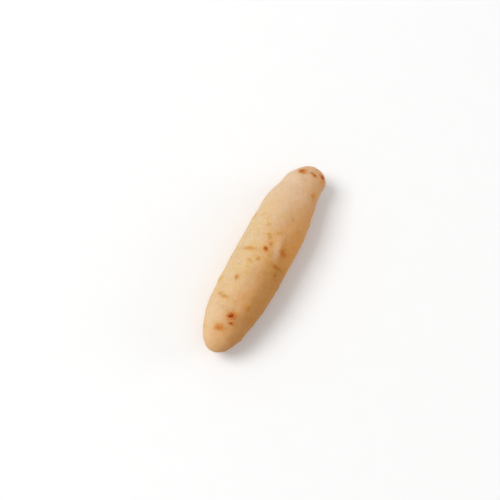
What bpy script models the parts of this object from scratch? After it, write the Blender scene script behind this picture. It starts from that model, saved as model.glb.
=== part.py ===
"""A baked cheese straw, lying on the flat side that it was baked on.

Metres, +Z up. The straw lies along X, with its blunt, crooked end at +X and its slim end at -X.
The origin is on the baking tray's plane, under the middle of the straw's box.
Run it with: blender --background --python part.py
"""

import math
import random
from collections import namedtuple

import bmesh
import bpy
import numpy as np
from mathutils import Vector, noise

# Overall size of the baked straw.
LENGTH = 0.130
WIDTH = 0.034
HEIGHT = 0.0305

# Outline seen from above, as shares of the half length and the half width.
SLIM_TAPER, SLIM_ROUNDING = 3.3, 2.0
BLUNT_TAPER, BLUNT_ROUNDING = 2.7, 2.8
WAIST_AT, WAIST_SPREAD, WAIST_DEPTH = 0.72, 0.112, 0.080

# The blunt end leans to -Y, after a slight swell to +Y.
HOOK_FROM, HOOK_TO, HOOK = 0.0515, 0.063, 0.0023
SWELL_AT, SWELL_SPREAD, SWELL = 0.038, 0.010, 0.00085

# Side view: the middle line's height, the slump of both ends and the section's height to its width.
SPINE_HEIGHT = 0.0146
END_SLUMP = 0.0012
SECTION_HEIGHT = 0.95

# Soft lumps of the baked dough: how far apart they are and how high they stand.
LUMPS = ((0.026, 0.00075), (0.012, 0.00040), (0.006, 0.00018))
LUMP_SEED = Vector((3.1, 7.7, 1.3))

# Bits of cheese in the crust. Each one is a low dome whose edge blends into the crust. Those on the
# sides that don't show are drawn from a seed, within these turns from the top and this share of the
# straw's length on both sides of its middle.
SPECK_RISE = 0.0005
SCATTER_SEED = 11
SCATTERED_SPECKS = 34
SCATTER_GAP = 0.0075
SCATTER_ALONG = 0.46
SCATTER_FROM, SCATTER_TO = 75, 285
SCATTER_SHORTEST, SCATTER_LONGEST = 0.002, 0.0045

# How finely the straw is cut into faces.
SIDES = 64
RINGS = 72

CRUST_COLOUR = (0.74, 0.50, 0.27, 1.0)
CRUST_ROUGHNESS = 0.75

# Bits of cheese on the shown side: the place along X, the turn from the top towards -Y in degrees,
# the bit's own length and width, and the slant of its length from the straw's length in degrees.
Speck = namedtuple("Speck", "along turn length width slant")
SHOWN_SPECKS = (
    Speck(0.0564, -30, 0.0056, 0.0042, 66),
    Speck(0.0580, -1, 0.0026, 0.0020, 60),
    Speck(0.0574, 12, 0.0034, 0.0027, 95),
    Speck(0.0601, 26, 0.0015, 0.0012, 80),
    Speck(0.0600, 42, 0.0034, 0.0027, 90),
    Speck(0.0455, 44, 0.0044, 0.0036, 95),
    Speck(0.0236, 16, 0.0020, 0.0015, 100),
    Speck(0.0142, -24, 0.0034, 0.0020, 66),
    Speck(0.0117, 4, 0.0044, 0.0024, 64),
    Speck(0.0084, -13, 0.0038, 0.0028, 80),
    Speck(0.0072, -8, 0.0030, 0.0020, 30),
    Speck(0.0038, -1, 0.0030, 0.0026, 0),
    Speck(0.0030, 35, 0.0070, 0.0044, 98),
    Speck(-0.0005, -3, 0.0038, 0.0034, 110),
    Speck(-0.0040, -34, 0.0094, 0.0028, 75),
    Speck(-0.0064, 37, 0.0086, 0.0032, 86),
    Speck(-0.0077, -8, 0.0028, 0.0022, 30),
    Speck(-0.0105, 43, 0.0050, 0.0030, 60),
    Speck(-0.0107, -22, 0.0026, 0.0015, 84),
    Speck(-0.0231, -30, 0.0038, 0.0034, 0),
    Speck(-0.0355, -45, 0.0054, 0.0026, 84),
    Speck(-0.0364, -33, 0.0050, 0.0024, 84),
    Speck(-0.0356, 26, 0.0058, 0.0034, 14),
    Speck(-0.0446, 3, 0.0057, 0.0050, 80),
    Speck(-0.0452, 11, 0.0030, 0.0020, 100),
    Speck(-0.0475, -1, 0.0034, 0.0026, 90),
    Speck(-0.0481, 12, 0.0044, 0.0030, 60),
    Speck(-0.0533, -10, 0.0078, 0.0052, 60),
)

# Soft swellings and dents of the skin, laid out like the bits of cheese, with their height: a short
# fold beside the bits in the middle, a hollow below it, a long low ridge towards the slim end, and
# broad, shallow ones on both flanks.
Fold = namedtuple("Fold", "along turn length width slant height")
FOLDS = (
    Fold(0.0050, 17, 0.0140, 0.0052, 160, 0.00050),
    Fold(-0.0095, 17, 0.0150, 0.0060, 150, -0.00015),
    Fold(-0.0200, 15, 0.0480, 0.0150, 0, 0.00045),
    Fold(0.0110, 85, 0.0400, 0.0200, 0, 0.00050),
    Fold(0.0130, -85, 0.0460, 0.0180, 0, 0.00045),
    Fold(-0.0244, -85, 0.0180, 0.0160, 0, -0.00030),
)


def bell(place, middle, spread):
    """1 at the middle, falling smoothly to 0 on both sides."""
    return math.exp(-(((place - middle) / spread) ** 2))


def smooth_step(place, start, end):
    """0 before start, 1 after end, and a smooth rise between them."""
    share = min(1.0, max(0.0, (place - start) / (end - start)))
    return share * share * (3 - 2 * share)


def half_width(along):
    """Half the straw's width at a place along X, before the relief."""
    share = min(1.0, abs(along) / (LENGTH / 2))
    taper, rounding = (BLUNT_TAPER, BLUNT_ROUNDING) if along > 0 else (SLIM_TAPER, SLIM_ROUNDING)
    waist = 1 - WAIST_DEPTH * bell(along / (LENGTH / 2), WAIST_AT, WAIST_SPREAD)
    return WIDTH / 2 * waist * (1 - share**taper) ** (1 / rounding)


def middle_line(along):
    """The point of the straw's middle line at a place along X."""
    hook = HOOK * smooth_step(along, HOOK_FROM, HOOK_TO)
    swell = SWELL * bell(along, SWELL_AT, SWELL_SPREAD)
    slump = END_SLUMP * (along / (LENGTH / 2)) ** 2
    return Vector((along, swell - hook, SPINE_HEIGHT - slump))


def on_form(along, turn):
    """The point of the smooth form at a place along X, turned from the top towards -Y (radians)."""
    radius = half_width(along)
    across = Vector((0, -math.sin(turn), SECTION_HEIGHT * math.cos(turn)))
    return middle_line(along) + radius * across


def even_places(count):
    """Places along X whose rings lie evenly along the outline, so that the ends get whole faces too."""
    fine = [-math.cos(math.pi * k / 2000) * LENGTH / 2 for k in range(2001)]
    steps = [math.hypot(b - a, half_width(b) - half_width(a)) for a, b in zip(fine, fine[1:])]
    reached = np.concatenate([[0.0], np.cumsum(steps)])
    return np.interp(np.linspace(0, reached[-1], count + 1), reached, fine)


def frame_on_form(along, turn, slant):
    """A spot on the smooth form: its point, its outward normal and its own two directions."""
    step = 0.0002
    point = on_form(along, turn)
    inward = max(-LENGTH / 2, min(LENGTH / 2, along - math.copysign(step, along)))
    lengthways = (point - on_form(inward, turn)).normalized() * math.copysign(1, along)
    around = (on_form(along, turn + step) - on_form(along, turn - step)).normalized()
    normal = lengthways.cross(around).normalized()
    turned = math.radians(slant)
    long_way = lengthways * math.cos(turned) + around * math.sin(turned)
    return point, normal, long_way, normal.cross(long_way)


def scattered_specks():
    """Bits of cheese on the sides that don't show, spread evenly with a seeded draw."""
    draw = random.Random(SCATTER_SEED)
    kept = []
    while len(kept) < SCATTERED_SPECKS:
        along = draw.uniform(-SCATTER_ALONG, SCATTER_ALONG) * LENGTH
        turn = draw.uniform(SCATTER_FROM, SCATTER_TO)
        length = draw.uniform(SCATTER_SHORTEST, SCATTER_LONGEST)
        speck = Speck(along, turn, length, length * draw.uniform(0.4, 0.9), draw.uniform(0, 180))
        place = on_form(along, math.radians(turn))
        if all((place - on_form(k.along, math.radians(k.turn))).length > SCATTER_GAP for k in kept):
            kept.append(speck)
    return kept


def lump(point):
    """How far the dough's soft lumps stand out at a point."""
    return sum(high * noise.noise(point / apart + LUMP_SEED) for apart, high in LUMPS)


def speck_rise(point, spots):
    """How far the bits of cheese stand out at a point."""
    rise = 0.0
    for speck, (centre, _, long_way, short_way) in spots:
        offset = point - centre
        reach = offset.length
        if reach < speck.length:
            share = math.hypot(
                offset.dot(long_way) / (speck.length / 2), offset.dot(short_way) / (speck.width / 2)
            )
            rise = max(rise, SPECK_RISE * max(0.0, 1 - share * share))
    return rise


def swelling(point, fold, spot):
    """How far one fold stands out at a point, falling smoothly to its rim."""
    centre, normal, long_way, short_way = spot
    offset = point - centre
    if abs(offset.dot(normal)) > fold.width:
        return 0.0
    lengthways = offset.dot(long_way) / (fold.length / 2)
    across = offset.dot(short_way) / (fold.width / 2)
    share = max(0.0, 1 - (lengthways**2 + across**2) / 2)
    return fold.height * share * share


def shape_straw(mesh):
    """Turns a unit sphere's points into the straw: form, lumps, cheese, folds and flat side."""
    places = even_places(RINGS)
    for vertex in mesh.verts:
        ring = RINGS * (1 - math.acos(max(-1.0, min(1.0, vertex.co.z))) / math.pi)
        along = float(places[round(ring)])
        vertex.co = on_form(along, math.atan2(vertex.co.x, vertex.co.y))
    bmesh.ops.recalc_face_normals(mesh, faces=mesh.faces)
    mesh.normal_update()
    specks = list(SHOWN_SPECKS) + scattered_specks()
    spots = [(s, frame_on_form(s.along, math.radians(s.turn), s.slant)) for s in specks]
    folds = [(f, frame_on_form(f.along, math.radians(f.turn), f.slant)) for f in FOLDS]
    for vertex in mesh.verts:
        rise = lump(vertex.co) + speck_rise(vertex.co, spots)
        rise += sum(swelling(vertex.co, fold, spot) for fold, spot in folds)
        vertex.co += vertex.normal * rise
    for vertex in mesh.verts:
        vertex.co.z = max(0.0, vertex.co.z)


def fit_to_size(mesh):
    """Centres the straw over the origin and brings its box to the named length, width and height."""
    low = Vector(min(v.co[axis] for v in mesh.verts) for axis in range(3))
    high = Vector(max(v.co[axis] for v in mesh.verts) for axis in range(3))
    middle = Vector(((low.x + high.x) / 2, (low.y + high.y) / 2, low.z))
    size = Vector((LENGTH, WIDTH, HEIGHT))
    for vertex in mesh.verts:
        offset = vertex.co - middle
        vertex.co = [offset[axis] * size[axis] / (high - low)[axis] for axis in range(3)]


def crust_material():
    """The pale, matte crust."""
    material = bpy.data.materials.new("baked_crust")
    material.use_nodes = True
    shader = material.node_tree.nodes["Principled BSDF"]
    shader.inputs["Base Color"].default_value = CRUST_COLOUR
    shader.inputs["Roughness"].default_value = CRUST_ROUGHNESS
    shader.inputs["Metallic"].default_value = 0.0
    return material


def make_straw(collection):
    """The whole straw, as one closed solid."""
    form = bmesh.new()
    bmesh.ops.create_uvsphere(form, u_segments=SIDES, v_segments=RINGS, radius=1.0)
    shape_straw(form)
    fit_to_size(form)
    bmesh.ops.recalc_face_normals(form, faces=form.faces)
    data = bpy.data.meshes.new("cheese_straw")
    form.to_mesh(data)
    form.free()
    data.materials.append(crust_material())
    data.shade_smooth()
    straw = bpy.data.objects.new("cheese_straw", data)
    collection.objects.link(straw)
    return straw


def main():
    for old in list(bpy.data.objects):
        bpy.data.objects.remove(old)
    collection = bpy.data.collections.new("cheese_straw")
    bpy.context.scene.collection.children.link(collection)
    make_straw(collection)


main()
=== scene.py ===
"""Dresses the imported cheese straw: its baked crust and the bits of cheese that lie in it.

The file is laid out as an add-on and is run as a script. Each operator makes one group of pieces,
and main() calls them in order. Metres, +Z up. The straw lies along X, with its blunt, crooked end
at +X and its slim end at -X, on the flat side that it was baked on.
"""

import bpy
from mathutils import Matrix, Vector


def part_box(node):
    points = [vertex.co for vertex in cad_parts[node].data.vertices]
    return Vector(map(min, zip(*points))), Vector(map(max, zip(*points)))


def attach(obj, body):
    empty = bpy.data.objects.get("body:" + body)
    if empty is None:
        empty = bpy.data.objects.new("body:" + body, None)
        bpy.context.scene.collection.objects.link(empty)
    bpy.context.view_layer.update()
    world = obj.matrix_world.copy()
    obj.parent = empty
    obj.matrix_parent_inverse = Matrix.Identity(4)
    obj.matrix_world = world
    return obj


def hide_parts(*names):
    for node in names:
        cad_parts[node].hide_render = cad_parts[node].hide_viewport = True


bl_info = {
    "name": "Cheese Straw",
    "version": (1, 0, 0),
    "blender": (4, 5, 0),
    "location": "3D View > Sidebar > Cheese Straw",
    "description": "Makes a baked cheese straw, its bits of cheese and a plain stage for it",
    "category": "Object",
}

import math
import random
from collections import namedtuple

import bmesh
import bpy
import numpy as np
from bpy.props import FloatProperty, FloatVectorProperty, IntProperty, PointerProperty
from mathutils import Matrix, Vector, noise

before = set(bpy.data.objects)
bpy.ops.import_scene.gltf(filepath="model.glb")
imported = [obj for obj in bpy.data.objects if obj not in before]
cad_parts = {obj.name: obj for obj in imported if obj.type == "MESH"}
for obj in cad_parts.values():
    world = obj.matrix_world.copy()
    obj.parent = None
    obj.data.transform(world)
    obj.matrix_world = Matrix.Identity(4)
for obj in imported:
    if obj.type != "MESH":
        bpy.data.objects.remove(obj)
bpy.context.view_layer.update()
STRAW_LOW, STRAW_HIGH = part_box("cheese_straw")
LENGTH, WIDTH, HEIGHT = STRAW_HIGH - STRAW_LOW

# Outline seen from above, as shares of the half length and the half width.
SLIM_TAPER, SLIM_ROUNDING = 3.3, 2.0
BLUNT_TAPER, BLUNT_ROUNDING = 2.7, 2.8
WAIST_AT, WAIST_SPREAD, WAIST_DEPTH = 0.72, 0.112, 0.08

# The blunt end leans to -Y, after a slight swell to +Y.
HOOK_FROM, HOOK_TO, HOOK = 0.0515, 0.063, 0.0023
SWELL_AT, SWELL_SPREAD, SWELL = 0.038, 0.01, 0.00085

# Side view: the middle line's height, the slump of both ends and the section's height to its width.
SPINE_HEIGHT = 0.0146
END_SLUMP = 0.0012
SECTION_HEIGHT = 0.95

# Soft lumps of the baked dough: how far apart they are and how high they stand.
LUMPS = ((0.026, 0.00075), (0.012, 0.0004), (0.006, 0.00018))
LUMP_SEED = Vector((3.1, 7.7, 1.3))

# How finely the crust is cut into faces.
SIDES = 250
RINGS = 384

# Bits of cheese on the sides that don't show: the same seeded draw as in the solid. Those that lie
# just round the shown side's edge, within EDGE_TURN degrees of it, are pale.
SCATTER_SEED = 11
SCATTERED_BITS = 34
SCATTER_GAP = 0.0075
SCATTER_ALONG = 0.46
SCATTER_FROM, SCATTER_TO = 75, 285
SCATTER_SHORTEST, SCATTER_LONGEST = 0.002, 0.0045
EDGE_TURN = 15

# Bits of cheese on the shown side: the place along X, the turn from the top towards -Y in degrees,
# the bit's own length and width, the slant of its length from the straw's length in degrees, its
# kind, and how strongly it has browned, as a share.
Bit = namedtuple("Bit", "along turn length width slant kind done")
TOASTED, GOLDEN, YELLOW = "toasted", "golden", "yellow"
SHOWN_BITS = (
    Bit(0.0564, -28, 0.006, 0.0052, 66, TOASTED, 0.8),
    Bit(0.058, -1, 0.003, 0.0024, 60, TOASTED, 0.56),
    Bit(0.0574, 12, 0.0035, 0.0028, 95, TOASTED, 0.82),
    Bit(0.0601, 26, 0.0015, 0.0012, 80, TOASTED, 0.65),
    Bit(0.06, 42, 0.004, 0.0034, 90, TOASTED, 1.00),
    Bit(0.0455, 44, 0.0048, 0.004, 95, GOLDEN, 0.62),
    Bit(0.0236, 16, 0.002, 0.0015, 100, TOASTED, 0.25),
    Bit(0.0142, -24, 0.0034, 0.002, 66, GOLDEN, 0.48),
    Bit(0.0117, 4, 0.0044, 0.0024, 64, YELLOW, 0.5),
    Bit(0.0084, -13, 0.0038, 0.0028, 80, YELLOW, 0.86),
    Bit(0.0072, -8, 0.003, 0.002, 30, YELLOW, 0.9),
    Bit(0.0038, -1, 0.003, 0.0026, 0, GOLDEN, 0.54),
    Bit(0.003, 35, 0.0072, 0.0042, 98, GOLDEN, 0.82),
    Bit(-0.0005, -3, 0.0038, 0.0034, 110, TOASTED, 0.88),
    Bit(-0.0039, -35, 0.0096, 0.0029, 75, GOLDEN, 0.6),
    Bit(-0.0064, 37, 0.0092, 0.0026, 86, GOLDEN, 0.76),
    Bit(-0.0077, -8, 0.0028, 0.0022, 30, GOLDEN, 0.6),
    Bit(-0.0105, 43, 0.005, 0.003, 60, YELLOW, 0.9),
    Bit(-0.0107, -22, 0.0026, 0.0015, 84, YELLOW, 0.6),
    Bit(-0.0231, -30, 0.0038, 0.0034, 0, TOASTED, 0.49),
    Bit(-0.0355, -45, 0.0054, 0.0026, 84, GOLDEN, 0.52),
    Bit(-0.0364, -33, 0.0054, 0.0025, 84, GOLDEN, 0.72),
    Bit(-0.0356, 26, 0.006, 0.0034, 14, YELLOW, 0.74),
    Bit(-0.0446, 3, 0.006, 0.0055, 80, TOASTED, 1.00),
    Bit(-0.0452, 11, 0.003, 0.002, 100, TOASTED, 0.5),
    Bit(-0.0475, -1, 0.0034, 0.0026, 90, GOLDEN, 0.5),
    Bit(-0.0481, 12, 0.0044, 0.003, 60, GOLDEN, 1.00),
    Bit(-0.0533, -10, 0.0078, 0.0052, 60, GOLDEN, 0.87),
)

# Soft swellings and dents of the skin, laid out like the bits of cheese, with their height: a short
# fold with a groove and a hollow beside it, a long low ridge, shallow ones on both flanks, and a crease.
Fold = namedtuple("Fold", "along turn length width slant height")
FOLDS = (
    Fold(0.005, 17, 0.014, 0.0052, 160, 0.0005),
    Fold(0.0104, 28, 0.009, 0.0022, 150, -0.00018),
    Fold(-0.0095, 17, 0.015, 0.006, 150, -0.00015),
    Fold(-0.02, 15, 0.048, 0.015, 0, 0.00045),
    Fold(0.011, 85, 0.04, 0.02, 0, 0.0005),
    Fold(0.013, -85, 0.046, 0.018, 0, 0.00045),
    Fold(-0.0244, -85, 0.018, 0.016, 0, -0.0003),
    Fold(0.045, -30, 0.006, 0.0014, 85, -0.0002),
)

# Soft patches of tone on the skin, laid out the same way, with their strength: a painted highlight on the
# fold's top, skin that has soaked up the cheese's fat, and patches of painted shade.
Patch = namedtuple("Patch", "along turn length width slant strength")
PATCHES = {
    "crest": (Patch(0.0038, 17, 0.015, 0.0056, 168, 0.7),),
    "oiled": (
        Patch(-0.015, -19, 0.02, 0.0065, 0, 0.9),
        Patch(0.03, -42, 0.04, 0.012, 0, 0.7),
        Patch(0.0502, 36, 0.017, 0.012, 0, 0.8),
        Patch(0.0518, -2, 0.0024, 0.0018, 60, 1.0),
    ),
    "dulled": (
        Patch(0.007, 29, 0.02, 0.007, 0, 0.9),
        Patch(0.0107, 26, 0.01, 0.0016, 150, 1.0),
        Patch(-0.005, -62, 0.1, 0.016, 0, 0.6),
        Patch(0.023, 5, 0.02, 0.013, 0, 0.9),
        Patch(-0.02, 1, 0.02, 0.009, 0, 0.8),
        Patch(0.0518, -2, 0.0024, 0.0018, 60, 1.0),
    ),
}

# Rolling drew the skin's ripples out at this angle to the straw, and by these shares. Creases and
# hairline wrinkles run across it.
ROLLING_TWIST = math.radians(-30.0)
RIPPLE_STRETCH = (0.4, 1.0, 0.7)
CREASE_STRETCH = (1.0, 0.22, 0.22)
HAIRLINE_STRETCH = (1.0, 0.2, 0.2)

# A bit of cheese reaches this many times its own half size, because the skin grows over its rim. Each
# kind has its own share of the thickness.
SKIN_OVER_RIM = 1.6
CHEESE_THICKNESS = {TOASTED: 1.2, GOLDEN: 0.9, YELLOW: 0.6}

# Smooth changes along the straw, as (start, end) or (start, end, from, to), in metres along X: where across
# the straw the browner flank starts, how strong it and its outer edge are, where painted shade darkens it,
# where the middle is warm and the slim end pale, and where clouds show and stand out. The flank is partly
# browning and partly painted shade, so where it starts and how strong it is follow where shade fell.
FLANK_STARTS = (0.004, -0.012, 0.85, 0.75)
FLANK_FADES = (0.0, 0.055, 1.0, 0.55)
FLANK_AT_TIP = (0.052, 0.064, 0.0, 0.25)
EDGE_GROWS = (0.0, 0.05, 0.0, 0.22)
FLANK_SHADE_TO_SLIM = (0.01, -0.014)
MIDDLE_WARM = ((0.042, 0.0), (-0.048, -0.026, 0.7, 1.0))
SLIM_PALE = (-0.014, -0.046)
CLOUDS_SHOW = ((0.005, 0.05, 1.0, 0.25), (-0.045, -0.022, 0.6, 1.0))
CLOUDS_STAND_OUT = ((0.03, 0.014), (-0.022, -0.008))
LEAST_CONTRAST = 0.5

# Across and up, in half widths from the middle line: where the flank's browning and painted shade are in
# full, and where its outer edge and the tray's browning start and end.
FLANK_IN_FULL = -0.8
EDGE_ACROSS = (-0.2, -0.75)
TRAY_UP = (-0.35, -0.85)

# Noise that makes edges uneven: its scale, detail and roughness, and its strength. The fine noise is
# on both edges of the cheese, by their own shares.
FLANK_NOISE = (110.0, 3.0, 0.55, 0.45)
TRAY_NOISE = (140.0, 4.0, 0.6, 0.9)
RIM_NOISE = (1.5, 3.0, 0.6, 1.2)
CORE_NOISE = (2.2, 3.0, 0.6, 1.3)
FINE_NOISE, RIM_FINENESS, CORE_FINENESS = (1900.0, 3.0, 0.6), 0.5, 0.7

# The levels between which the tray's colour and the painted shade on the flank come in.
TRAY_SHOWS = (0.1, 1.0)
FLANK_SHADE_SHOWS = (0.5, 0.95)

# Mottling: the noise's scale, detail and roughness, the change that turns it into a strength, and the
# tint that multiplies the skin's colour.
Mottling = namedtuple("Mottling", "scale detail roughness change tint", defaults=[None])
YELLOW_CLOUDS = Mottling(190.0, 3.0, 0.7, (-0.04, 0.2, -0.3, 0.7), (1.0, 0.965, 0.73))
PINK_CLOUDS = Mottling(230.0, 3.0, 0.7, (0.0, 0.22, -0.18, 0.72), (1.0, 0.9, 0.9))
MOTTLES = Mottling(560.0, 3.0, 0.65, (-0.08, 0.2, 0.15, 0.7), (0.955, 0.885, 0.67))
DUSTING = Mottling(1100.0, 2.0, 0.6, (-0.08, 0.16, 0.15, 0.65), (1.0, 0.955, 0.78))
SPECKLES = Mottling(1500.0, 3.0, 0.7, (0.0, 0.24), (0.9, 0.85, 0.78))
OILY_PATCHES = Mottling(800.0, 2.0, 0.5, (-0.2, 0.2, 0.35, 0.9), (1.0, 0.93, 0.8))
DIMPLE_PATCHES = Mottling(90.0, 1.0, 0.5, (-0.12, 0.12, 0.35, 1.0))
CREASE_PATCHES = Mottling(75.0, 1.0, 0.5, (0.04, 0.2))
HAIRLINE_PATCHES = Mottling(120.0, 2.0, 0.5, (-0.02, 0.14))
DOUGH_ROUGHNESS = Mottling(700.0, 3.0, 0.5, (-0.2, 0.2, 0.66, 0.84))
YELLOW_MEAN, PINK_MEAN = 0.3, 0.18
LEAST_DUSTING = 0.6

# Dots on the skin: the scale of their grid, the share of its cells that hold one, the smallest and
# the largest radius as shares of a cell, the soft share of the rim, their strength and their tint.
Dots = namedtuple("Dots", "scale share smallest largest soft strength tint")
FRECKLES = Dots(290.0, 0.4, 0.08, 0.24, 0.0, 0.55, (0.88, 0.62, 0.32))
PINHOLES = Dots(700.0, 0.34, 0.08, 0.2, 0.4, 0.9, (0.8, 0.6, 0.4))
PORES = Dots(None, 0.26, 0.1, 0.2, 0.0, 0.8, (0.9, 0.64, 0.36))
DOTS_BENT = 0.0016

# Tints where painted shade darkens the flank or the skin is warm, in its patches of fat and of painted
# shade, on its fine lines and where cheese is charred.
FLANK_SHADE_TINT = (0.8, 0.83, 0.87)
MIDDLE_TINT = (1.0, 0.99, 0.86)
SLIM_TINT = (1.0, 0.96, 0.92)
OILED_TINT = (1.0, 0.955, 0.79)
PATCH_SHADE_TINT = (0.91, 0.9, 0.89)
HAIRLINE_TINT, HAIRLINE_STRENGTH = (0.9, 0.77, 0.6), 0.35
CREASE_TINT, CREASE_STRENGTH = (0.8, 0.66, 0.5), 0.3
CHARRED_TINT, CHARRED_SHOWS = (0.74, 0.58, 0.8), (0.78, 1.0)

# The finest relief, in metres: the skin's grain, hairline wrinkles and pinholes.
GRAIN_HEIGHT, GRAIN_NOISE = 0.00018, (1700.0, 4.0, 0.65)
HAIRLINE_DEPTH = 0.00004
PINHOLE_DEPTH = 0.00014

# How a bit of cheese browns: over distances from its middle and from its core's, in its own half
# sizes, then by how strongly it has browned.
RIM_FADES = (0.55, 1.45, 1.0, 0.0)
CORE_FADES = (0.25, 1.1, 1.0, 0.0)
CORE_PLACE = (-0.2, 0.1, 0.0)
RIM_DONE = (0.0, 0.8)
CHEESE_ROUGHNESS = (0.0, 0.8, 0.75, 0.55)

# The little light that dough and cheese let in: its share, and how far each colour of it goes.
LIGHT_LET_IN = 0.15
LIGHT_REACH, LIGHT_COLOURS = 0.0012, (1.0, 0.45, 0.2)

# The camera looks down on the straw, leans towards its slim end and is turned in its own plane, so
# that the straw stands slanting in the picture, with its blunt end up.
CAMERA_LENS = 85.0
CAMERA_SENSOR = 36.0
CAMERA_DISTANCE = 0.698
CAMERA_LEAN = math.radians(18.0)
CAMERA_ROLL = math.radians(29.4)
STRAW_RIGHT_OF_MIDDLE = 0.0081
STRAW_BELOW_MIDDLE = 0.0034
LOOK_AT_HEIGHT = 0.0152

# The soft square lights' sizes and places, the point that they face, and the floor's radius.
LIGHTS = {"key": (1.6, (-0.7, 2.0, 2.6)), "rim": (1.5, (1.7, -2.1, 0.9))}
LIGHTS_FACE = (0, 0, 0.01)
FLOOR_RADIUS = 6.0


def bell(place, middle, spread):
    """1 at the middle, falling smoothly to 0 on both sides."""
    return np.exp(-(((place - middle) / spread) ** 2))


def smooth_step(place, start, end):
    """0 before start, 1 after end, and a smooth rise between them."""
    share = np.clip((place - start) / (end - start), 0, 1)
    return share * share * (3 - 2 * share)


def half_width(along):
    """Half the straw's width at places along X, before the relief."""
    share = np.clip(np.abs(along) / (LENGTH / 2), 0, 1)
    taper = np.where(along > 0, BLUNT_TAPER, SLIM_TAPER)
    rounding = np.where(along > 0, BLUNT_ROUNDING, SLIM_ROUNDING)
    waist = 1 - WAIST_DEPTH * bell(along / (LENGTH / 2), WAIST_AT, WAIST_SPREAD)
    return WIDTH / 2 * waist * (1 - share**taper) ** (1 / rounding)


def on_form(along, turn):
    """Points of the smooth form at places along X, turned from the top towards -Y (radians)."""
    hook = HOOK * smooth_step(along, HOOK_FROM, HOOK_TO)
    swell = SWELL * bell(along, SWELL_AT, SWELL_SPREAD)
    slump = END_SLUMP * (along / (LENGTH / 2)) ** 2
    radius = half_width(along)
    across = swell - hook - radius * np.sin(turn)
    up = SPINE_HEIGHT - slump + SECTION_HEIGHT * radius * np.cos(turn)
    return np.stack([along + 0 * turn, across, up], axis=-1)


def even_places(count):
    """Places along X whose rings lie evenly along the outline, so that the ends get whole faces too."""
    fine = -np.cos(np.linspace(0, math.pi, 2001)) * LENGTH / 2
    steps = np.hypot(np.diff(fine), np.diff(half_width(fine)))
    reached = np.concatenate([[0.0], np.cumsum(steps)])
    return np.interp(np.linspace(0, reached[-1], count + 1), reached, fine)


def frame_on_form(spot):
    """Where a bit of cheese or a fold lies on the smooth form: its point, its normal and its long way."""
    step = 0.0002
    turn = math.radians(spot.turn)
    point = on_form(spot.along, turn)
    inner = on_form(spot.along - math.copysign(step, spot.along), turn)
    lengthways = Vector(point - inner).normalized() * math.copysign(1, spot.along)
    around = Vector(on_form(spot.along, turn + step) - on_form(spot.along, turn - step)).normalized()
    normal = lengthways.cross(around).normalized()
    slant = math.radians(spot.slant)
    return Vector(point), normal, lengthways * math.cos(slant) + around * math.sin(slant)


def scattered_bits():
    """Bits of cheese on the sides that don't show, spread evenly with a seeded draw."""
    draw = random.Random(SCATTER_SEED)
    look = random.Random(SCATTER_SEED + 1)
    kept = []
    while len(kept) < SCATTERED_BITS:
        along = draw.uniform(-SCATTER_ALONG, SCATTER_ALONG) * LENGTH
        turn = draw.uniform(SCATTER_FROM, SCATTER_TO)
        length = draw.uniform(SCATTER_SHORTEST, SCATTER_LONGEST)
        width = length * draw.uniform(0.4, 0.9)
        slant = draw.uniform(0, 180)
        place = on_form(along, math.radians(turn))
        others = [on_form(other.along, math.radians(other.turn)) for other in kept]
        if all(np.linalg.norm(place - other) > SCATTER_GAP for other in others):
            kind = look.choice((TOASTED, GOLDEN, GOLDEN, YELLOW, YELLOW))
            done = look.uniform(0.4, 1.0)
            if min(turn - SCATTER_FROM, SCATTER_TO - turn) < EDGE_TURN:
                kind, done = YELLOW, 0.5
            kept.append(Bit(along, turn, length, width, slant, kind, done))
    return kept


def fitted(points, low, high):
    """Moves and scales points so that the box from low to high becomes the solid's box."""
    middle = np.array([(low[0] + high[0]) / 2, (low[1] + high[1]) / 2, low[2]])
    ground = np.array([(STRAW_LOW.x + STRAW_HIGH.x) / 2, (STRAW_LOW.y + STRAW_HIGH.y) / 2, STRAW_LOW.z])
    return ground + (points - middle) * np.array([LENGTH, WIDTH, HEIGHT]) / (high - low)


def read_vectors(items, key):
    """The vectors that a mesh's items hold under a key, as an array."""
    values = np.empty(len(items) * 3, np.float32)
    items.foreach_get(key, values)
    return values.reshape(-1, 3).astype(float)


def place_points(mesh, points):
    """Puts a mesh's points at the places in an array."""
    mesh.vertices.foreach_set("co", points.astype(np.float32).ravel())
    mesh.update()


def keep_values(mesh, name, values):
    """Keeps a number or a vector for each point of a mesh, under a name."""
    values = np.array(values, np.float32)
    kind, key = ("FLOAT_VECTOR", "vector") if values.ndim == 2 else ("FLOAT", "value")
    mesh.attributes.new(name, kind, "POINT").data.foreach_set(key, values.ravel())


def face_outwards(mesh):
    """Turns all faces of a closed mesh to point outwards."""
    form = bmesh.new()
    form.from_mesh(mesh)
    bmesh.ops.recalc_face_normals(form, faces=form.faces)
    form.to_mesh(mesh)
    form.free()
    mesh.update()


def lump(point):
    """How far the dough's soft lumps stand out at a point."""
    return sum(high * noise.noise(point / apart + LUMP_SEED) for apart, high in LUMPS)


def swelling(points, spot, height):
    """How far the skin swells at its points over a spot, which falls smoothly to its rim."""
    centre, normal, long_way = frame_on_form(spot)
    short_way = normal.cross(long_way)
    offset = points - np.array(centre)
    longways = offset @ np.array(long_way) / (spot.length / 2)
    shortways = offset @ np.array(short_way) / (spot.width / 2)
    outwards = offset @ np.array(normal) / spot.width
    share = np.clip(1 - (longways**2 + shortways**2) / 2, 0, 1) * (np.abs(outwards) < 1)
    return height * share * share


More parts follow.
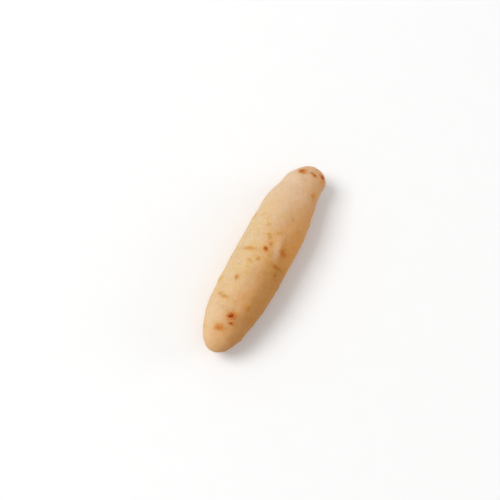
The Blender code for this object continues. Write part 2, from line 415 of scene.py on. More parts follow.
def straw_form(bits, bit_rise):
    """The straw's smooth form with its lumps, folds and swellings, fitted to the solid's box."""
    form = bmesh.new()
    bmesh.ops.create_uvsphere(form, u_segments=SIDES, v_segments=RINGS, radius=1.0)
    mesh = bpy.data.meshes.new("straw_form")
    form.to_mesh(mesh)
    form.free()
    sphere = read_vectors(mesh.vertices, "co")
    ring = np.rint(RINGS * (1 - np.arccos(np.clip(sphere[:, 2], -1, 1)) / math.pi)).astype(int)
    along = even_places(RINGS)[ring]
    place_points(mesh, on_form(along, np.arctan2(sphere[:, 0], sphere[:, 1])))
    face_outwards(mesh)
    points = read_vectors(mesh.vertices, "co")
    normals = read_vectors(mesh.vertex_normals, "vector")
    rise = np.array([lump(Vector(point)) for point in points])
    rise += np.max([swelling(points, bit, bit_rise) for bit in bits], axis=0)
    rise += sum(swelling(points, fold, fold.height) for fold in FOLDS)
    points += normals * rise[:, None]
    low, high = points.min(axis=0), points.max(axis=0)
    low[2] = 0
    place_points(mesh, fitted(points, low, high))
    for name, patches in PATCHES.items():
        keep_values(mesh, name, sum(swelling(points, patch, patch.strength) for patch in patches))
    return mesh


def new_object(name, data):
    """An object in the scene that holds this data."""
    made = bpy.data.objects.new(name, data)
    bpy.context.scene.collection.objects.link(made)
    return made


class Nodes:
    """Adds nodes to a tree from left to right, and links them as it goes."""

    def __init__(self, tree):
        self.tree = tree
        self.column = 0

    def add(self, kind, inputs=None, **settings):
        """A node with its settings, and with values or other nodes' sockets put into its inputs."""
        node = self.tree.nodes.new(kind)
        node.location = (180 * self.column, 0)
        self.column += 1
        for name, value in settings.items():
            setattr(node, name, value)
        for key, value in (inputs or {}).items():
            self.put(value, node.inputs[key])
        return node

    def put(self, value, socket):
        """Links a node's result to an input, or sets the input to a plain value."""
        if isinstance(value, bpy.types.NodeSocket):
            self.tree.links.new(value, socket)
        else:
            socket.default_value = value

    def maths(self, operation, first, second=0.0, third=0.0):
        """The result of a sum on numbers."""
        return self.add("ShaderNodeMath", {0: first, 1: second, 2: third}, operation=operation).outputs[0]

    def times(self, first, *factors):
        """The product of some numbers."""
        for factor in factors:
            first = self.maths("MULTIPLY", first, factor)
        return first

    def unevenly(self, value, vector, scale, detail, roughness, strength):
        """A value that noise makes uneven."""
        return self.maths("MULTIPLY_ADD", self.noise(vector, scale, detail, roughness), strength, value)

    def vectors(self, operation, first, second=(0, 0, 0)):
        """The vector that a sum on vectors gives."""
        return self.add("ShaderNodeVectorMath", {0: first, 1: second}, operation=operation).outputs[0]

    def scaled(self, vector, factor):
        """A vector times a number."""
        return self.add("ShaderNodeVectorMath", {0: vector, "Scale": factor}, operation="SCALE").outputs[0]

    def length(self, vector):
        """A vector's length."""
        return self.add("ShaderNodeVectorMath", {0: vector}, operation="LENGTH").outputs["Value"]

    def parts(self, vector):
        """A vector's X, Y and Z."""
        return self.add("ShaderNodeSeparateXYZ", {0: vector}).outputs

    def ramp(self, value, low, high, to_low=0.0, to_high=1.0):
        """A smooth rise from to_low to to_high as the value goes from low to high."""
        inputs = {"Value": value, "From Min": low, "From Max": high, "To Min": to_low, "To Max": to_high}
        return self.add("ShaderNodeMapRange", inputs, interpolation_type="SMOOTHSTEP").outputs[0]

    def ramps(self, value, changes):
        """The product of some smooth changes of a value."""
        return self.times(*(self.ramp(value, *change) for change in changes))

    def noise(self, vector, scale, detail=2.0, roughness=0.5, distortion=0.0):
        """Soft noise, from about -0.5 to 0.5."""
        labels = ("Vector", "Scale", "Detail", "Roughness", "Distortion")
        inputs = dict(zip(labels, (vector, scale, detail, roughness, distortion)))
        soft = self.add("ShaderNodeTexNoise", inputs).outputs[0]
        return self.maths("SUBTRACT", soft, 0.5)

    def mottling(self, vector, kind):
        """How strong a kind of mottling is at a place."""
        return self.ramp(self.noise(vector, kind.scale, kind.detail, kind.roughness), *kind.change)

    def dots(self, vector, scale, kind):
        """Small round dots in a share of an uneven grid's cells. Their radii are shares of a cell."""
        cells = self.add("ShaderNodeTexVoronoi", {"Vector": vector, "Scale": scale})
        drawn = self.parts(cells.outputs["Color"])
        radius = self.maths("MULTIPLY_ADD", drawn[1], kind.largest - kind.smallest, kind.smallest)
        dot = self.ramp(cells.outputs["Distance"], self.times(radius, kind.soft), radius, 1.0, 0.0)
        return self.times(dot, self.ramp(drawn[0], 1 - kind.share, 1 - kind.share * 0.6))

    def blend(self, factor, first, second, mode="MIX"):
        """A colour between two colours."""
        inputs = {0: factor, 6: first, 7: second}
        return self.add("ShaderNodeMix", inputs, data_type="RGBA", blend_type=mode).outputs[2]

    def tinted(self, colour, *layers):
        """A colour times some tints, each as strongly as the share with it."""
        for tint, strength in layers:
            colour = self.blend(strength, colour, (*tint, 1), "MULTIPLY")
        return colour


def label_of(name):
    """The label of a tree's input for a setting's name."""
    return name.replace("_", " ").title()


def geometry_tree(name, inputs):
    """A Geometry Nodes tree with named inputs: the tree, its builder and its input sockets by name."""
    tree = bpy.data.node_groups.new(name, "GeometryNodeTree")
    tree.is_modifier = True
    tree.interface.new_socket("Geometry", in_out="INPUT", socket_type="NodeSocketGeometry")
    for label, kind in inputs.items():
        number = kind in ("DISTANCE", "FACTOR")
        socket_type = "NodeSocket" + ("Float" if number else kind)
        socket = tree.interface.new_socket(label, in_out="INPUT", socket_type=socket_type)
        if number:
            socket.subtype = kind
    tree.interface.new_socket("Geometry", in_out="OUTPUT", socket_type="NodeSocketGeometry")
    nodes = Nodes(tree)
    start = nodes.add("NodeGroupInput")
    return tree, nodes, {socket.name: socket for socket in start.outputs if socket.name}


def run_tree(source, tree, values, name):
    """A plain mesh object of what a tree makes of an object, with the tree's named inputs set by their
    identifiers. The object itself is removed."""
    modifier = source.modifiers.new(tree.name, "NODES")
    modifier.node_group = tree
    for item in tree.interface.items_tree:
        if item.item_type == "SOCKET" and item.in_out == "INPUT" and item.name in values:
            modifier[item.identifier] = values[item.name]
    source.update_tag()
    graph = bpy.context.evaluated_depsgraph_get()
    mesh = bpy.data.meshes.new_from_object(source.evaluated_get(graph), depsgraph=graph)
    bpy.data.objects.remove(source)
    mesh.name = name
    mesh.shade_smooth()
    return new_object(name, mesh)


def position(nodes):
    """The place of each point of a geometry."""
    return nodes.add("GeometryNodeInputPosition").outputs[0]


def store(nodes, geometry, name, value, kind="FLOAT"):
    """Keeps a value at each point of a geometry, under a name that materials can read."""
    inputs = {"Geometry": geometry, "Name": name, "Value": value}
    return nodes.add("GeometryNodeStoreNamedAttribute", inputs, data_type=kind).outputs[0]


def kept_value(nodes, name, kind="FLOAT"):
    """A value that was kept at each point under a name."""
    return nodes.add("GeometryNodeInputNamedAttribute", {"Name": name}, data_type=kind).outputs[0]


def on_crust(nodes, crust, value, place, kind):
    """A value that the crust has at its point nearest to a place."""
    inputs = {"Mesh": crust, "Value": value, "Sample Position": place}
    return nodes.add("GeometryNodeSampleNearestSurface", inputs, data_type=kind).outputs[0]


def at_height(nodes, geometry, places, height):
    """A geometry with its points at these places, but at another height."""
    places = nodes.add("ShaderNodeCombineXYZ", {0: places[0], 1: places[1], 2: height}).outputs[0]
    return nodes.add("GeometryNodeSetPosition", {"Geometry": geometry, "Position": places}).outputs[0]


def finish_tree(nodes, geometry, material):
    """Ends a tree with whole pieces in one material."""
    whole = nodes.add("GeometryNodeRealizeInstances", {"Geometry": geometry}).outputs[0]
    finished = nodes.add("GeometryNodeSetMaterial", {"Geometry": whole, "Material": material}).outputs[0]
    nodes.add("NodeGroupOutput", {0: finished})


def a_length(name, description, default):
    """A length that a user can set."""
    return FloatProperty(name=name, description=description, default=default, subtype="DISTANCE")


def a_share(name, description, default):
    """A share from 0 to 1 that a user can set."""
    limits = {"subtype": "FACTOR", "min": 0, "max": 1}
    return FloatProperty(name=name, description=description, default=default, **limits)


def a_colour(name, description, default):
    """A colour that a user can set."""
    limits = {"subtype": "COLOR", "min": 0, "max": 1}
    return FloatVectorProperty(name=name, description=description, default=default, **limits)


class CrustSettings(bpy.types.PropertyGroup):
    ripple_height: a_length("Ripple height", "How far the skin's soft ripples stand out", 0.00026)
    ripple_length: a_length("Ripple length", "How far apart the soft ripples are", 0.0042)
    dimple_depth: a_length("Dimple depth", "Depth of the skin's small dimples", 0.00007)
    dimple_spacing: a_length("Dimple spacing", "How far apart the dimples are", 0.0019)
    crease_depth: a_length("Crease depth", "Depth of the fine creases across the straw", 0.0001)
    crease_spacing: a_length("Crease spacing", "How far apart the creases are", 0.0042)
    pore_depth: a_length("Pore depth", "Depth of the largest pores in the skin", 0.0001)
    pore_spacing: a_length("Pore spacing", "How far apart the pores can be", 0.0034)
    bit_rise: a_length("Bit rise", "How far the skin swells over a bit of cheese", 0.00025)
    shine: a_share("Shine", "How glossy the baked skin is", 0.16)
    rest_rounding: a_length("Rest rounding", "Softness of the edge round the flat underside", 0.001)
    seed: IntProperty(name="Seed", description="Changes the relief's pattern", default=5)
    pale: a_colour("Pale", "Skin on the top and on the pale side", (0.72, 0.552, 0.422))
    # A painted highlight on the fold's top.
    crest: a_colour("Crest", "Skin of the fold's crest", (0.72, 0.5, 0.35))
    # The tan flank is partly browning and partly painted shade.
    tan: a_colour("Tan", "Skin on the browner side", (0.65, 0.308, 0.102))
    brown: a_colour("Brown", "Skin of the underside", (0.46, 0.18, 0.045))


class CheeseSettings(bpy.types.PropertyGroup):
    thickness: a_length("Thickness", "How far a bit of cheese stands out of the skin", 0.00011)
    rim_sink: a_length("Rim sink", "How far a bit's rim lies under the skin", 0.00003)
    ragged_edge: a_share("Ragged edge", "How uneven a bit's outline is", 0.45)
    shine: a_share("Shine", "How glossy the baked cheese is", 0.1)
    halo_width: a_length(
        "Halo width", "How far the skin round a bit of cheese has soaked up its fat", 0.0015
    )
    seed: IntProperty(name="Seed", description="Changes the outlines of the bits", default=3)
    toasted: a_colour(
        "Toasted", "Tint of the skin where cheese under it is toasted dark", (0.68, 0.28, 0.05)
    )
    toasted_rim: a_colour("Toasted rim", "Tint round the toasted cheese", (1.0, 0.69, 0.38))
    golden: a_colour("Golden", "Tint of the skin where cheese under it has browned", (0.92, 0.56, 0.21))
    golden_rim: a_colour("Golden rim", "Tint round the browned cheese", (1.0, 0.85, 0.68))
    yellow: a_colour(
        "Yellow", "Tint of the skin where cheese under it is barely browned", (0.98, 0.82, 0.44)
    )
    yellow_rim: a_colour("Yellow rim", "Tint round the barely browned cheese", (1.0, 0.94, 0.72))


class StageSettings(bpy.types.PropertyGroup):
    floor_colour: a_colour("Floor", "Colour of the floor", (0.94, 0.94, 0.937))
    key_power: FloatProperty(
        name="Key light", description="Power of the main soft light", default=69.0, unit="POWER"
    )
    rim_power: FloatProperty(
        name="Rim light",
        description="Power of the weak light past the blunt end",
        default=14.0,
        unit="POWER",
    )
    fill_strength: FloatProperty(
        name="Fill", description="Strength of the light from all round", default=0.56
    )


# The crust's settings that are inputs of its relief.
RELIEF_LENGTHS = (
    "ripple_height ripple_length dimple_depth dimple_spacing crease_depth crease_spacing "
    "pore_depth pore_spacing rest_rounding"
).split()


def store_baked_and_shaded_tones(nodes, geometry):
    """Keeps how browned the skin is at each point: on the flank at -Y, where the tone is partly browning and
    partly painted shade, and on the tray's side.
    """
    along, across, up = nodes.parts(position(nodes))
    across = nodes.maths("DIVIDE", across, WIDTH / 2)
    up = nodes.maths("DIVIDE", nodes.maths("SUBTRACT", up, SPINE_HEIGHT), WIDTH / 2)
    flank = nodes.ramp(across, nodes.ramp(along, *FLANK_STARTS), FLANK_IN_FULL)
    fade, at_tip = nodes.ramp(along, *FLANK_FADES), nodes.ramp(along, *FLANK_AT_TIP)
    flank = nodes.maths("MULTIPLY_ADD", flank, fade, at_tip)
    edge = nodes.times(nodes.ramp(across, *EDGE_ACROSS), nodes.ramp(along, *EDGE_GROWS))
    geometry = store(nodes, geometry, "flank", nodes.maths("ADD", edge, flank))
    return store(nodes, geometry, "tray", nodes.ramp(up, *TRAY_UP))


def crust_relief_tree():
    """Ripples, dimples, creases and pores of the baked skin, and the flat side that it rests on."""
    inputs = {label_of(name): "DISTANCE" for name in RELIEF_LENGTHS}
    tree, nodes, given = geometry_tree("Crust relief", {**inputs, "Seed": "Int", "Material": "Material"})
    start = position(nodes)
    normal = nodes.add("GeometryNodeInputNormal").outputs[0]
    place = nodes.vectors("ADD", start, nodes.scaled((0.37, 0.91, 0.53), given["Seed"]))

    # Soft ripples.
    inputs = {"Vector": place, "Angle": ROLLING_TWIST}
    twisted = nodes.add("ShaderNodeVectorRotate", inputs, rotation_type="Z_AXIS").outputs[0]
    drawn_out = nodes.vectors("MULTIPLY", twisted, RIPPLE_STRETCH)
    ripple = nodes.noise(drawn_out, nodes.maths("DIVIDE", 1.0, given["Ripple Length"]), 3.0, 0.55)
    height = nodes.times(ripple, 2.0, given["Ripple Height"])

    # Small dimples, closer together in some patches.
    per_dimple = nodes.maths("DIVIDE", 1.0, given["Dimple Spacing"])
    dimple = nodes.ramp(nodes.noise(place, per_dimple, 2.0, 0.55), 0.02, 0.24)
    dimple = nodes.times(dimple, nodes.mottling(place, DIMPLE_PATCHES))

    # Fine creases that run across the straw, in a few patches.
    per_crease = nodes.maths("DIVIDE", 1.0, given["Crease Spacing"])
    stretched = nodes.vectors("MULTIPLY", place, CREASE_STRETCH)
    lines = nodes.maths("ABSOLUTE", nodes.noise(stretched, per_crease, 2.0, 0.5, 0.6))
    thin = nodes.ramp(lines, 0.0, 0.045, 1.0, 0.0)
    crease = nodes.times(thin, nodes.mottling(place, CREASE_PATCHES))

    # Pores, with none in most cells of their grid.
    pore = nodes.dots(place, nodes.maths("DIVIDE", 1.0, given["Pore Spacing"]), PORES)

    # The relief moves each point along its normal, and the tray keeps the underside flat.
    for hollow, label in ((dimple, "Dimple"), (crease, "Crease"), (pore, "Pore")):
        depth = nodes.times(hollow, given[label + " Depth"])
        height = nodes.maths("SUBTRACT", height, depth)
    moved = nodes.parts(nodes.vectors("ADD", start, nodes.scaled(normal, height)))
    rest = nodes.maths("SMOOTH_MAX", moved[2], 0.0, given["Rest Rounding"])
    geometry = store(nodes, given["Geometry"], "pore", pore)
    geometry = store(nodes, geometry, "crease", crease)
    shaped = at_height(nodes, geometry, moved, rest)
    finish_tree(nodes, store_baked_and_shaded_tones(nodes, shaped), given["Material"])
    return tree


def cheese_tree():
    """A ragged, low bit of cheese on each point, draped over the crust."""
    inputs = {"Crust": "Object", "Thickness": "DISTANCE", "Rim Sink": "DISTANCE", "Ragged Edge": "FACTOR"}
    tree, nodes, given = geometry_tree("Cheese bits", {**inputs, "Seed": "Int", "Material": "Material"})
    crust = nodes.add("GeometryNodeObjectInfo", {"Object": given["Crust"]}).outputs["Geometry"]
    ball = nodes.add("GeometryNodeMeshIcoSphere", {"Radius": 1.0, "Subdivisions": 4}).outputs[0]
    ball = store(nodes, ball, "bit_place", position(nodes), "FLOAT_VECTOR")
    normal = kept_value(nodes, "bit_normal", "FLOAT_VECTOR")
    long_way = kept_value(nodes, "bit_long_way", "FLOAT_VECTOR")
    upright = nodes.add("FunctionNodeAlignRotationToVector", {"Vector": normal}, axis="Z").outputs[0]
    inputs = {"Rotation": upright, "Vector": long_way}
    turned = nodes.add("FunctionNodeAlignRotationToVector", inputs, axis="X", pivot_axis="Z").outputs[0]
    inputs = {
        "Points": given["Geometry"],
        "Instance": ball,
        "Rotation": turned,
        "Scale": kept_value(nodes, "bit_size", "FLOAT_VECTOR"),
    }
    placed = nodes.add("GeometryNodeInstanceOnPoints", inputs).outputs[0]
    whole = nodes.add("GeometryNodeRealizeInstances", {"Geometry": placed}).outputs[0]

    # A ragged outline: each bit is stretched and pinched round its own middle.
    unit = kept_value(nodes, "bit_place", "FLOAT_VECTOR")
    centre = kept_value(nodes, "bit_centre", "FLOAT_VECTOR")
    draw = nodes.maths("MULTIPLY_ADD", kept_value(nodes, "bit_draw"), 40.0, given["Seed"])
    flat = nodes.vectors("MULTIPLY", unit, (1.0, 1.0, 0.0))
    sampled = nodes.vectors("ADD", flat, nodes.scaled((1.0, 0.7, 0.4), draw))
    ragged = nodes.times(nodes.noise(sampled, 1.2, 2.0, 0.6), 2.0)
    stretch = nodes.maths("MULTIPLY_ADD", ragged, given["Ragged Edge"], 1.0)
    from_centre = nodes.vectors("SUBTRACT", position(nodes), centre)
    spread = nodes.vectors("ADD", centre, nodes.scaled(from_centre, stretch))

    # Draped over the crust: low and blistered above it, and closed a little below it.
    inputs = {0: crust, "Sample Position": spread}
    nearest = nodes.add("GeometryNodeProximity", inputs, target_element="FACES").outputs["Position"]
    crust_normal = nodes.add("GeometryNodeInputNormal").outputs[0]
    outwards = on_crust(nodes, crust, crust_normal, spread, "FLOAT_VECTOR")
    level = nodes.parts(unit)[2]
    above = nodes.maths("POWER", nodes.maths("MAXIMUM", level, 0.0), 2.0)
    blisters = nodes.maths("MULTIPLY_ADD", nodes.noise(sampled, 3.0, 2.0, 0.6), 2.0, 0.8)
    dome = nodes.times(above, blisters, given["Thickness"])
    below = nodes.times(nodes.maths("MINIMUM", level, 0.0), given["Rim Sink"])
    lift = nodes.maths("SUBTRACT", nodes.maths("ADD", dome, below), given["Rim Sink"])
    draped = nodes.parts(nodes.vectors("ADD", nearest, nodes.scaled(outwards, lift)))
    pressed = nodes.maths("MAXIMUM", draped[2], nodes.times(given["Rim Sink"], -1.0))

    # The crust's patches of tone go on over its bits.
    for name in PATCHES:
        tone = on_crust(nodes, crust, kept_value(nodes, name), spread, "FLOAT")
        whole = store(nodes, whole, name, tone)
    shaped = at_height(nodes, whole, draped, pressed)
    finish_tree(nodes, store_baked_and_shaded_tones(nodes, shaped), given["Material"])
    return tree


def halo_tree():
    """Keeps how near each point of the crust is to a bit of cheese."""
    kinds = [label_of(kind) for kind in CHEESE_THICKNESS]
    inputs = {**{label: "Object" for label in kinds}, "Halo Width": "DISTANCE", "Material": "Material"}
    tree, nodes, given = geometry_tree("Cheese halos", inputs)
    together = nodes.add("GeometryNodeJoinGeometry")
    for label in kinds:
        bits = nodes.add("GeometryNodeObjectInfo", {"Object": given[label]})
        nodes.put(bits.outputs["Geometry"], together.inputs[0])
    proximity = nodes.add("GeometryNodeProximity", {0: together.outputs[0]}, target_element="FACES")
    near = nodes.ramp(proximity.outputs["Distance"], 0.0, given["Halo Width"], 1.0, 0.0)
    finish_tree(nodes, store(nodes, given["Geometry"], "near_cheese", near), given["Material"])
    return tree


def new_material(name):
    """A material, the builder of its nodes, its shader node and its own object coordinates."""
    material = bpy.data.materials.new(name)
    material.use_nodes = True
    material.node_tree.nodes.clear()
    nodes = Nodes(material.node_tree)
    place = nodes.add("ShaderNodeTexCoord").outputs["Object"]
    shader = nodes.add("ShaderNodeBsdfPrincipled")
    end = nodes.add("ShaderNodeOutputMaterial", {"Surface": shader.outputs[0]})
    shader.location = (0, 400)
    end.location = (300, 400)
    return material, nodes, shader, place


def attribute(nodes, name, output="Fac"):
    """A value that was kept at each point, for a material."""
    return nodes.add("ShaderNodeAttribute", attribute_name=name).outputs[output]


def skin(nodes, place, look, near):
    """The baked skin's colour, and its finest relief in metres. Near is 1 beside a bit of cheese."""
    # Broad tones: pale, tan on one flank, which is partly browning and partly painted shade, and brown where
    # the tray touched it.
    flank = nodes.unevenly(attribute(nodes, "flank"), place, *FLANK_NOISE)
    tone = nodes.blend(nodes.maths("MAXIMUM", flank, 0.0), (*look.pale, 1), (*look.tan, 1))
    tray = nodes.unevenly(attribute(nodes, "tray"), place, *TRAY_NOISE)
    tone = nodes.blend(nodes.ramp(tray, *TRAY_SHOWS), tone, (*look.brown, 1))

    # Painted shade darkens the browner side towards the slim end, and both ends are paler than the middle.
    # Clouds a few millimetres across are yellower or pinker, and stand out most round the middle.
    along = nodes.parts(place)[0]
    elsewhere = nodes.vectors("ADD", place, (0.31, 0.17, 0.23))
    fade = nodes.ramps(along, CLOUDS_SHOW)
    contrast = nodes.ramps(along, CLOUDS_STAND_OUT)
    contrast = nodes.maths("MULTIPLY_ADD", contrast, 1 - LEAST_CONTRAST, LEAST_CONTRAST)
    yellower = nodes.maths("MULTIPLY_ADD", nodes.mottling(place, YELLOW_CLOUDS), contrast, YELLOW_MEAN)
    pinker = nodes.maths("MULTIPLY_ADD", nodes.mottling(elsewhere, PINK_CLOUDS), contrast, PINK_MEAN)
    tone = nodes.tinted(
        tone,
        (FLANK_SHADE_TINT, nodes.times(nodes.ramp(flank, *FLANK_SHADE_SHOWS), nodes.ramp(along, *FLANK_SHADE_TO_SLIM))),
        (MIDDLE_TINT, nodes.ramps(along, MIDDLE_WARM)),
        (SLIM_TINT, nodes.ramp(along, *SLIM_PALE)),
        (YELLOW_CLOUDS.tint, nodes.times(yellower, fade)),
        (PINK_CLOUDS.tint, pinker),
        (OILED_TINT, attribute(nodes, "oiled")),
        # Painted shade in patches.
        (PATCH_SHADE_TINT, attribute(nodes, "dulled")),
    )
    # A painted highlight on the fold's top.
    tone = nodes.blend(attribute(nodes, "crest"), tone, (*look.crest, 1))

    # Freckles of cheese dust, and pinholes, all a little out of round.
    soft = nodes.add("ShaderNodeTexNoise", {"Vector": place, "Scale": 900.0, "Detail": 2.0}).outputs["Color"]
    shift = nodes.scaled(nodes.vectors("SUBTRACT", soft, (0.5, 0.5, 0.5)), DOTS_BENT)
    bent = nodes.vectors("ADD", place, shift)
    freckles = nodes.dots(bent, FRECKLES.scale, FRECKLES)
    pinholes = nodes.dots(bent, PINHOLES.scale, PINHOLES)

    # Hairline wrinkles that run across the straw, in patches.
    stretched = nodes.vectors("MULTIPLY", place, HAIRLINE_STRETCH)
    lines = nodes.maths("ABSOLUTE", nodes.noise(stretched, 420.0, 2.0, 0.5, 0.5))
    lines = nodes.ramp(lines, 0.0, 0.036, 1.0, 0.0)
    hairlines = nodes.times(lines, nodes.mottling(elsewhere, HAIRLINE_PATCHES))

    # Mottling, then the warm, oily skin close to a bit of cheese, the dots and the wrinkles.
    dust_fade = nodes.maths("MAXIMUM", fade, LEAST_DUSTING)
    tone = nodes.tinted(
        tone,
        (MOTTLES.tint, nodes.mottling(place, MOTTLES)),
        (DUSTING.tint, nodes.times(nodes.mottling(place, DUSTING), dust_fade)),
        (SPECKLES.tint, nodes.mottling(elsewhere, SPECKLES)),
        (OILY_PATCHES.tint, nodes.maths("MULTIPLY", near, nodes.mottling(place, OILY_PATCHES))),
        (FRECKLES.tint, nodes.times(freckles, FRECKLES.strength)),
        (PINHOLES.tint, nodes.times(pinholes, PINHOLES.strength)),
        (HAIRLINE_TINT, nodes.times(hairlines, HAIRLINE_STRENGTH)),
    )

    # Relief too fine for the mesh: grain, the wrinkles and the pinholes.
    grain = nodes.times(nodes.noise(place, *GRAIN_NOISE), GRAIN_HEIGHT)
    relief = nodes.maths("MULTIPLY_ADD", hairlines, -HAIRLINE_DEPTH, grain)
    return tone, nodes.maths("MULTIPLY_ADD", pinholes, -PINHOLE_DEPTH, relief)


def finish_shader(nodes, shader, tone, roughness, relief, shine):
    """Puts a look on a shader: matte dough, with a little light let in."""
    nodes.put(tone, shader.inputs["Base Color"])
    nodes.put(roughness, shader.inputs["Roughness"])
    bump = nodes.add("ShaderNodeBump", {"Strength": 1.0, "Distance": 1.0, "Height": relief})
    nodes.put(bump.outputs[0], shader.inputs["Normal"])
    shader.subsurface_method = "RANDOM_WALK"
    shader.inputs["Subsurface Weight"].default_value = LIGHT_LET_IN
    shader.inputs["Subsurface Radius"].default_value = LIGHT_COLOURS
    shader.inputs["Subsurface Scale"].default_value = LIGHT_REACH
    shader.inputs["Specular IOR Level"].default_value = shine


def crust_material(look):
    """Pale baked dough with pores and creases."""
    material, nodes, shader, place = new_material("baked_crust")
    tone, relief = skin(nodes, place, look, attribute(nodes, "near_cheese"))
    pore = nodes.times(attribute(nodes, "pore"), PORES.strength)
    crease = nodes.times(attribute(nodes, "crease"), CREASE_STRENGTH)
    tone = nodes.tinted(tone, (PORES.tint, pore), (CREASE_TINT, crease))
    finish_shader(nodes, shader, tone, nodes.mottling(place, DOUGH_ROUGHNESS), relief, look.shine)
    return material


def cheese_material(name, look, rim, core, shine):
    """Baked cheese under the skin: the skin's look at the rim, then a warm rim colour, then its core."""
    material, nodes, shader, place = new_material(name)
    tone, relief = skin(nodes, place, look, 1.0)
    done = attribute(nodes, "bit_done")
    reach = (SKIN_OVER_RIM, SKIN_OVER_RIM, 0.0)
    flat = nodes.vectors("MULTIPLY", attribute(nodes, "bit_place", "Vector"), reach)
    sampled = nodes.vectors("ADD", flat, nodes.scaled((23.0, 17.0, 31.0), attribute(nodes, "bit_draw")))
    fine = nodes.noise(place, *FINE_NOISE)

    # The warm rim has a ragged edge of its own inside the bit.
    edge = nodes.unevenly(nodes.length(flat), sampled, *RIM_NOISE)
    edge = nodes.maths("MULTIPLY_ADD", fine, RIM_FINENESS, edge)
    warm = nodes.times(nodes.ramp(edge, *RIM_FADES), nodes.ramp(done, *RIM_DONE))

    # The core lies off the middle and is mottled. Where it is deepest, it is charred.
    off_middle = nodes.length(nodes.vectors("SUBTRACT", flat, CORE_PLACE))
    edge = nodes.unevenly(off_middle, sampled, *CORE_NOISE)
    edge = nodes.maths("MULTIPLY_ADD", fine, CORE_FINENESS, edge)
    deep = nodes.times(nodes.ramp(edge, *CORE_FADES), done)
    charred = nodes.ramp(deep, *CHARRED_SHOWS)
    tone = nodes.tinted(tone, (rim, warm), (core, deep), (CHARRED_TINT, charred))

    # Melted cheese is a little glossier than the dough.
    finish_shader(nodes, shader, tone, nodes.ramp(deep, *CHEESE_ROUGHNESS), relief, shine)
    return material


def bit_points(name, bits):
    """A mesh with a point for each bit of cheese, which holds its place, directions, size and look."""
    mesh = bpy.data.meshes.new(name)
    points, normals, long_ways = zip(*(frame_on_form(bit) for bit in bits))
    mesh.from_pydata(points, [], [])
    reach = SKIN_OVER_RIM / 2
    keep_values(mesh, "bit_centre", points)
    keep_values(mesh, "bit_normal", normals)
    keep_values(mesh, "bit_long_way", long_ways)
    keep_values(mesh, "bit_size", [(bit.length * reach, bit.width * reach, 0.0001) for bit in bits])
    draw = random.Random(name)
    keep_values(mesh, "bit_draw", [draw.random() for _ in bits])
    keep_values(mesh, "bit_done", [bit.done for bit in bits])
    return new_object(name, mesh)


def finish_piece(piece):
    """Lets a piece ride with the straw."""
    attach(piece, "root")


class STRAW_OT_shape_crust(bpy.types.Operator):
    """Shapes the straw's crust: its form, its lumps and the relief of its skin"""

    bl_idname = "straw.shape_crust"
    bl_label = "Shape Crust"

    def execute(self, context):
        look = context.scene.straw_crust
        bits = list(SHOWN_BITS) + scattered_bits()
        source = new_object("crust_source", straw_form(bits, look.bit_rise))
        values = {label_of(name): getattr(look, name) for name in RELIEF_LENGTHS}
        values.update({"Seed": look.seed, "Material": crust_material(look)})
        run_tree(source, crust_relief_tree(), values, "shaped_crust")
        return {"FINISHED"}


class STRAW_OT_add_cheese(bpy.types.Operator):
    """Lays the bits of cheese in the crust, one piece for each kind"""

    bl_idname = "straw.add_cheese"
    bl_label = "Add Cheese"

    def execute(self, context):
        dough = context.scene.straw_crust
        look = context.scene.straw_cheese
        crust = bpy.data.objects["shaped_crust"]
        bits = list(SHOWN_BITS) + scattered_bits()
        tree = cheese_tree()
        for kind, thicker in CHEESE_THICKNESS.items():
            name = kind + "_cheese"
            rim, core = getattr(look, kind + "_rim"), getattr(look, kind)
            points = bit_points(name + "_points", [bit for bit in bits if bit.kind == kind])
            values = {
                "Crust": crust,
                "Thickness": look.thickness * thicker,
                "Rim Sink": look.rim_sink,
                "Ragged Edge": look.ragged_edge,
                "Seed": look.seed,
                "Material": cheese_material(name, dough, rim, core, look.shine),
            }
            finish_piece(run_tree(points, tree, values, name))
        return {"FINISHED"}


class STRAW_OT_finish_crust(bpy.types.Operator):
    """Marks the warm skin round the cheese, and lets the crust stand for the solid"""

    bl_idname = "straw.finish_crust"
    bl_label = "Finish Crust"

    def execute(self, context):
        source = bpy.data.objects["shaped_crust"]
        values = {label_of(kind): bpy.data.objects[kind + "_cheese"] for kind in CHEESE_THICKNESS}
        values["Halo Width"] = context.scene.straw_cheese.halo_width
        values["Material"] = source.data.materials[0]
        crust = run_tree(source, halo_tree(), values, "baked_crust")
        finish_piece(crust)
        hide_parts("cheese_straw")
        return {"FINISHED"}


def add_light(name, size, power, place):
    """A square soft light at a place, turned towards the straw."""
    data = bpy.data.lights.new(name, "AREA")
    data.shape = "SQUARE"
    data.size = size
    data.energy = power
    lamp = new_object(name, data)
    lamp.location = place
    lamp.rotation_euler = (Vector(LIGHTS_FACE) - Vector(place)).to_track_quat("-Z", "Y").to_euler()


def add_camera():
    """The camera, which looks down on the straw and is turned with it."""
    forward = Vector((math.sin(CAMERA_LEAN), 0, -math.cos(CAMERA_LEAN)))
    along = Vector((math.cos(CAMERA_LEAN), 0, math.sin(CAMERA_LEAN)))
    across = Vector((0, -1, 0))
    up = along * math.cos(CAMERA_ROLL) - across * math.sin(CAMERA_ROLL)
    right = across * math.cos(CAMERA_ROLL) + along * math.sin(CAMERA_ROLL)
    aim = Vector((0, 0, LOOK_AT_HEIGHT)) - right * STRAW_RIGHT_OF_MIDDLE + up * STRAW_BELOW_MIDDLE
    data = bpy.data.cameras.new("camera")
    data.lens = CAMERA_LENS
    data.sensor_width = CAMERA_SENSOR
    camera = new_object("camera", data)
    turned = Matrix((right, up, -forward)).transposed().to_4x4()
    camera.matrix_world = Matrix.Translation(aim - forward * CAMERA_DISTANCE) @ turned
    bpy.context.scene.camera = camera


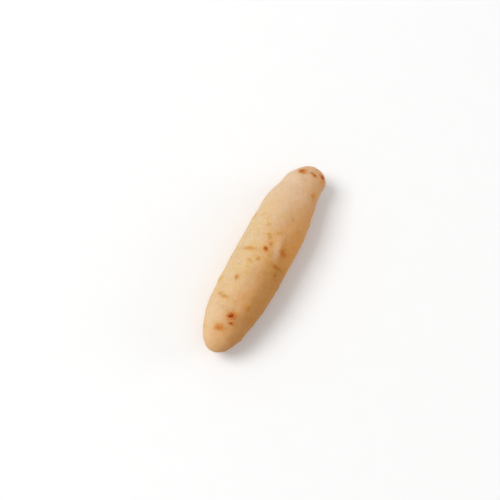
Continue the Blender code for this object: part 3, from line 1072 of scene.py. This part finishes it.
def floor_material(paint):
    """Plain matte paint with the faintest grain."""
    material, nodes, shader, place = new_material("floor")
    shade = nodes.ramp(nodes.noise(place, 60.0, 2.0), -0.2, 0.2, 0.0, 0.03)
    nodes.put(nodes.tinted((*paint, 1), ((0.8, 0.8, 0.8), shade)), shader.inputs["Base Color"])
    shader.inputs["Roughness"].default_value = 0.9
    shader.inputs["Specular IOR Level"].default_value = 0.2
    return material


class STRAW_OT_set_stage(bpy.types.Operator):
    """Makes the pale floor, the soft light and the camera"""

    bl_idname = "straw.set_stage"
    bl_label = "Set Stage"

    def execute(self, context):
        look = context.scene.straw_stage
        form = bmesh.new()
        bmesh.ops.create_circle(form, cap_ends=True, segments=96, radius=FLOOR_RADIUS)
        mesh = bpy.data.meshes.new("floor")
        form.to_mesh(mesh)
        form.free()
        mesh.materials.append(floor_material(look.floor_colour))
        new_object("floor", mesh)
        for name, (size, place) in LIGHTS.items():
            add_light(name, size, getattr(look, name + "_power"), place)
        world = bpy.data.worlds.new("studio")
        world.use_nodes = True
        background = world.node_tree.nodes["Background"]
        background.inputs["Color"].default_value = (1, 1, 1, 1)
        background.inputs["Strength"].default_value = look.fill_strength
        context.scene.world = world
        context.scene.view_settings.view_transform = "Standard"
        add_camera()
        return {"FINISHED"}


class STRAW_PT_panel(bpy.types.Panel):
    """Lists the steps that make the straw"""

    bl_label = "Cheese Straw"
    bl_idname = "STRAW_PT_panel"
    bl_space_type = "VIEW_3D"
    bl_region_type = "UI"
    bl_category = "Cheese Straw"

    def draw(self, context):
        for step in STEPS:
            self.layout.operator(step.bl_idname)
        for group in SETTINGS:
            settings = getattr(context.scene, group)
            box = self.layout.box()
            for name in settings.__annotations__:
                box.prop(settings, name)


STEPS = (STRAW_OT_shape_crust, STRAW_OT_add_cheese, STRAW_OT_finish_crust, STRAW_OT_set_stage)
SETTINGS = {"straw_crust": CrustSettings, "straw_cheese": CheeseSettings, "straw_stage": StageSettings}
CLASSES = (*SETTINGS.values(), *STEPS, STRAW_PT_panel)


def register():
    for kind in CLASSES:
        bpy.utils.register_class(kind)
    for group, kind in SETTINGS.items():
        setattr(bpy.types.Scene, group, PointerProperty(type=kind))


def unregister():
    for group in SETTINGS:
        delattr(bpy.types.Scene, group)
    for kind in reversed(CLASSES):
        bpy.utils.unregister_class(kind)


def main():
    """Makes the straw and its stage."""
    register()
    bpy.ops.straw.shape_crust()
    bpy.ops.straw.add_cheese()
    bpy.ops.straw.finish_crust()
    bpy.ops.straw.set_stage()


if __name__ == "__main__":
    main()
